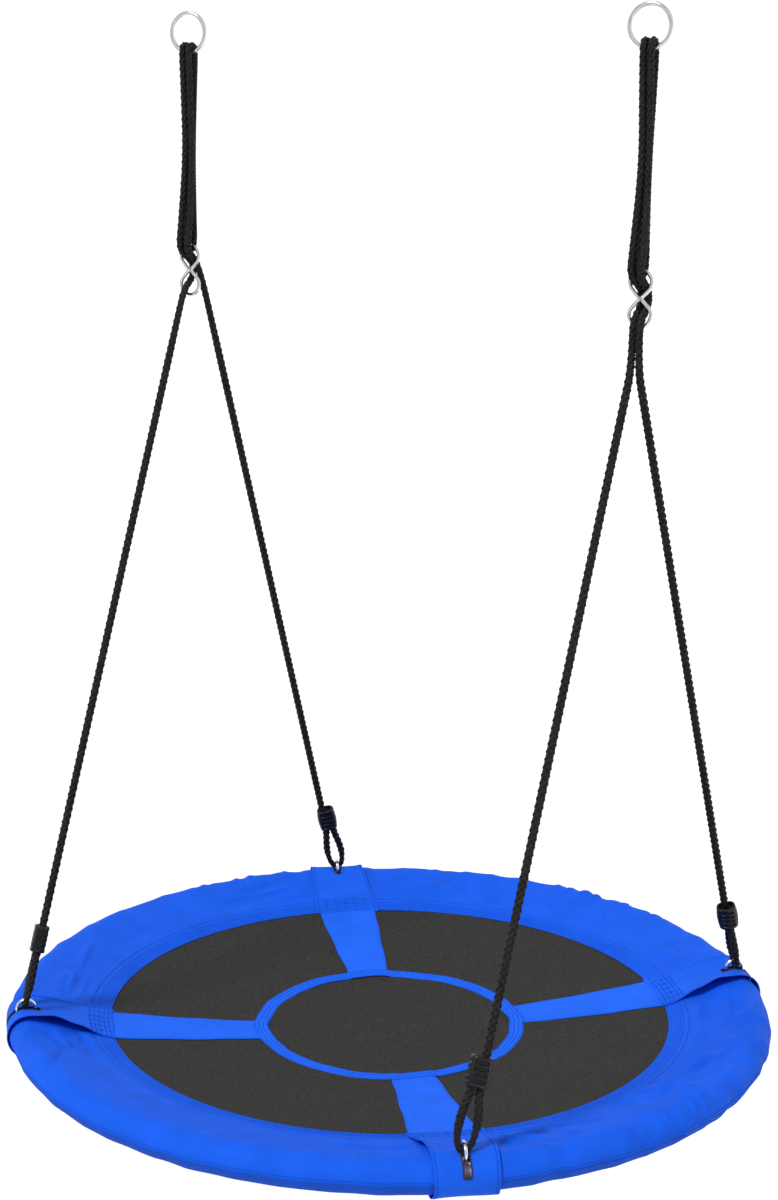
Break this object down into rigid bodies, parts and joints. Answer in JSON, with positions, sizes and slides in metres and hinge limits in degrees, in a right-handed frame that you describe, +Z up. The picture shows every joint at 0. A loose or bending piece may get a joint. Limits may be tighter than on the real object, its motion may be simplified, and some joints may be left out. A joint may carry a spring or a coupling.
{
  "type": "saucer nest swing",
  "caption": "Round nest swing seat: padded cloth-covered rim with a woven mat and crossing bands, hung by laced ropes from two steel rings.",
  "frame": {"origin": "centre of the seat's lowest plane", "axes": "+Z up along the ropes, +X from the left hanging ring to the right one, -Y the front of the seat"},
  "size_m": [1.1, 1.1, 1.443],
  "materials": {
    "tube_steel": "satin",
    "eye_steel": "polished",
    "foam": "matt",
    "cover_cloth": "matt",
    "mat_mesh": "matt",
    "band_webbing": "matt",
    "binding_tape": "matt",
    "black_rope": "matt",
    "ferrule_plastic": "satin",
    "bright_wire": "polished"
  },
  "bodies": {
    "hanger": {"hang_ring_left": "bright_wire", "hang_ring_right": "bright_wire"},
    "sling_left": {"sling_rope_left": "black_rope", "adjuster_link_left": "bright_wire"},
    "sling_right": {"sling_rope_right": "black_rope", "adjuster_link_right": "bright_wire"},
    "legs_left": {"leg_rope_front_left": "black_rope", "leg_rope_back_left": "black_rope", "rope_ferrule_front_left": "ferrule_plastic", "rope_ferrule_back_left": "ferrule_plastic"},
    "legs_right": {"leg_rope_front_right": "black_rope", "leg_rope_back_right": "black_rope", "rope_ferrule_front_right": "ferrule_plastic", "rope_ferrule_back_right": "ferrule_plastic"},
    "seat": {"frame_tube_right_back": "tube_steel", "frame_tube_back_left": "tube_steel", "frame_tube_left_front": "tube_steel", "frame_tube_front_right": "tube_steel", "tube_spigot_right": "tube_steel", "tube_spigot_back": "tube_steel", "tube_spigot_left": "tube_steel", "tube_spigot_front": "tube_steel", "foam_sleeve_right": "foam", "foam_sleeve_back": "foam", "foam_sleeve_left": "foam", "foam_sleeve_front": "foam", "frame_eye_front_right": "eye_steel", "frame_eye_back_right": "eye_steel", "frame_eye_back_left": "eye_steel", "frame_eye_front_left": "eye_steel", "rim_cover": "cover_cloth", "seat_mat": "mat_mesh", "round_band": "band_webbing", "cross_band_front_right": "band_webbing", "cross_band_back_right": "band_webbing", "cross_band_back_left": "band_webbing", "cross_band_front_left": "band_webbing", "anchor_wrap_front_right": "cover_cloth", "anchor_wrap_back_right": "cover_cloth", "anchor_wrap_back_left": "cover_cloth", "anchor_wrap_front_left": "cover_cloth", "slit_binding_front_right": "binding_tape", "slit_binding_back_right": "binding_tape", "slit_binding_back_left": "binding_tape", "slit_binding_front_left": "binding_tape"}
  },
  "joints": [
    {"name": "swing_left", "type": "hinge", "parent": "hanger", "child": "sling_left", "pos_m": [-0.3709, 0, 1.3865], "axis": [1, 0, 0], "range_deg": [-55, 55]},
    {"name": "swing_right", "type": "hinge", "parent": "hanger", "child": "sling_right", "pos_m": [0.3709, 0, 1.3865], "axis": [1, 0, 0], "range_deg": [-55, 55]},
    {"name": "sway_left", "type": "hinge", "parent": "sling_left", "child": "legs_left", "pos_m": [-0.3709, 0, 1.033], "axis": [0, 1, 0], "range_deg": [-10, 10]},
    {"name": "sway_right", "type": "hinge", "parent": "sling_right", "child": "legs_right", "pos_m": [0.3709, 0, 1.033], "axis": [0, 1, 0], "range_deg": [-10, 10]},
    {"name": "seat_level", "type": "hinge", "parent": "legs_left", "child": "seat", "pos_m": [-0.3709, 0, 0.071], "axis": [0, 1, 0], "range_deg": [-10, 10]}
  ],
  "couplings": [
    {"joint": "swing_right", "follows": "swing_left", "ratio": 1},
    {"joint": "sway_right", "follows": "sway_left", "ratio": 1},
    {"joint": "seat_level", "follows": "sway_left", "ratio": -1}
  ]
}
